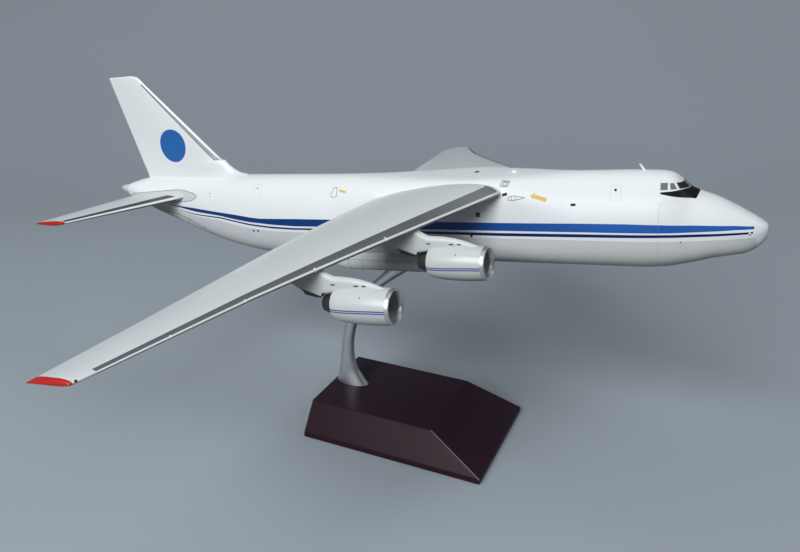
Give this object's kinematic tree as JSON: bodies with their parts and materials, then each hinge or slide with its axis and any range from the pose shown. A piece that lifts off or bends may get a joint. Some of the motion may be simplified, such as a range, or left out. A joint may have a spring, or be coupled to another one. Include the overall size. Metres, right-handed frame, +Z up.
{
  "type": "display model aircraft on stand",
  "caption": "Display model of a heavy high-wing freighter aircraft, carried nose-up on a swan-neck arm and a sloped base block; it lifts off the prong and its fans turn.",
  "frame": {"origin": "centre of the underside of the stand's base, on the table", "axes": "+X toward the nose, +Y to the left wing tip, +Z up"},
  "size_m": [0.3469, 0.3664, 0.179],
  "materials": {
    "base_lacquer": "satin lacquer",
    "felt": "felt",
    "arm_metal": "satin",
    "steel": "plain",
    "white_paint": "gloss",
    "grey_paint": "gloss",
    "cone_paint": "gloss",
    "socket_plastic": "matte",
    "cowl_plastic": "gloss",
    "ring_chrome": "polished",
    "fan_plastic": "metallic paint",
    "core_plastic": "matte",
    "nozzle_plastic": "satin"
  },
  "bodies": {
    "stand": {"stand_base": "base_lacquer", "base_felt": "felt", "stand_arm": "arm_metal", "arm_screws": "steel"},
    "aircraft": {"fuselage_dowels": "steel", "wing_joiner": "steel", "fuselage_left": "white_paint", "fuselage_right": "white_paint", "nose_visor": "white_paint", "fin": "white_paint", "blade_antenna": "white_paint", "dome_antenna": "white_paint", "wing_left": "grey_paint", "wing_right": "grey_paint", "tailplane_left": "grey_paint", "tailplane_right": "grey_paint", "gear_fairing_left": "grey_paint", "gear_fairing_right": "grey_paint", "tail_cone": "cone_paint", "stand_socket": "socket_plastic", "cowl_1": "cowl_plastic", "pylon_1": "cowl_plastic", "intake_ring_1": "ring_chrome", "engine_core_1": "core_plastic", "exhaust_nozzle_1": "nozzle_plastic", "cowl_2": "cowl_plastic", "pylon_2": "cowl_plastic", "intake_ring_2": "ring_chrome", "engine_core_2": "core_plastic", "exhaust_nozzle_2": "nozzle_plastic", "cowl_3": "cowl_plastic", "pylon_3": "cowl_plastic", "intake_ring_3": "ring_chrome", "engine_core_3": "core_plastic", "exhaust_nozzle_3": "nozzle_plastic", "cowl_4": "cowl_plastic", "pylon_4": "cowl_plastic", "intake_ring_4": "ring_chrome", "engine_core_4": "core_plastic", "exhaust_nozzle_4": "nozzle_plastic"},
    "fan_1": {"fan_1": "fan_plastic"},
    "fan_2": {"fan_2": "fan_plastic"},
    "fan_3": {"fan_3": "fan_plastic"},
    "fan_4": {"fan_4": "fan_plastic"}
  },
  "joints": [
    {"name": "lift_off", "type": "slide", "parent": "stand", "child": "aircraft", "axis": [-0.1219, 0, 0.9925], "range_m": [0, 0.03]},
    {"name": "fan_1_spin", "type": "hinge", "parent": "aircraft", "child": "fan_1", "pos_m": [0.02477, 0.0955, 0.11671], "axis": [0.9925, 0, 0.1219], "continuous": true},
    {"name": "fan_2_spin", "type": "hinge", "parent": "aircraft", "child": "fan_2", "pos_m": [0.04754, 0.056, 0.12363], "axis": [0.9925, 0, 0.1219], "continuous": true},
    {"name": "fan_3_spin", "type": "hinge", "parent": "aircraft", "child": "fan_3", "pos_m": [0.04754, -0.056, 0.12363], "axis": [0.9925, 0, 0.1219], "continuous": true},
    {"name": "fan_4_spin", "type": "hinge", "parent": "aircraft", "child": "fan_4", "pos_m": [0.02477, -0.0955, 0.11671], "axis": [0.9925, 0, 0.1219], "continuous": true}
  ]
}
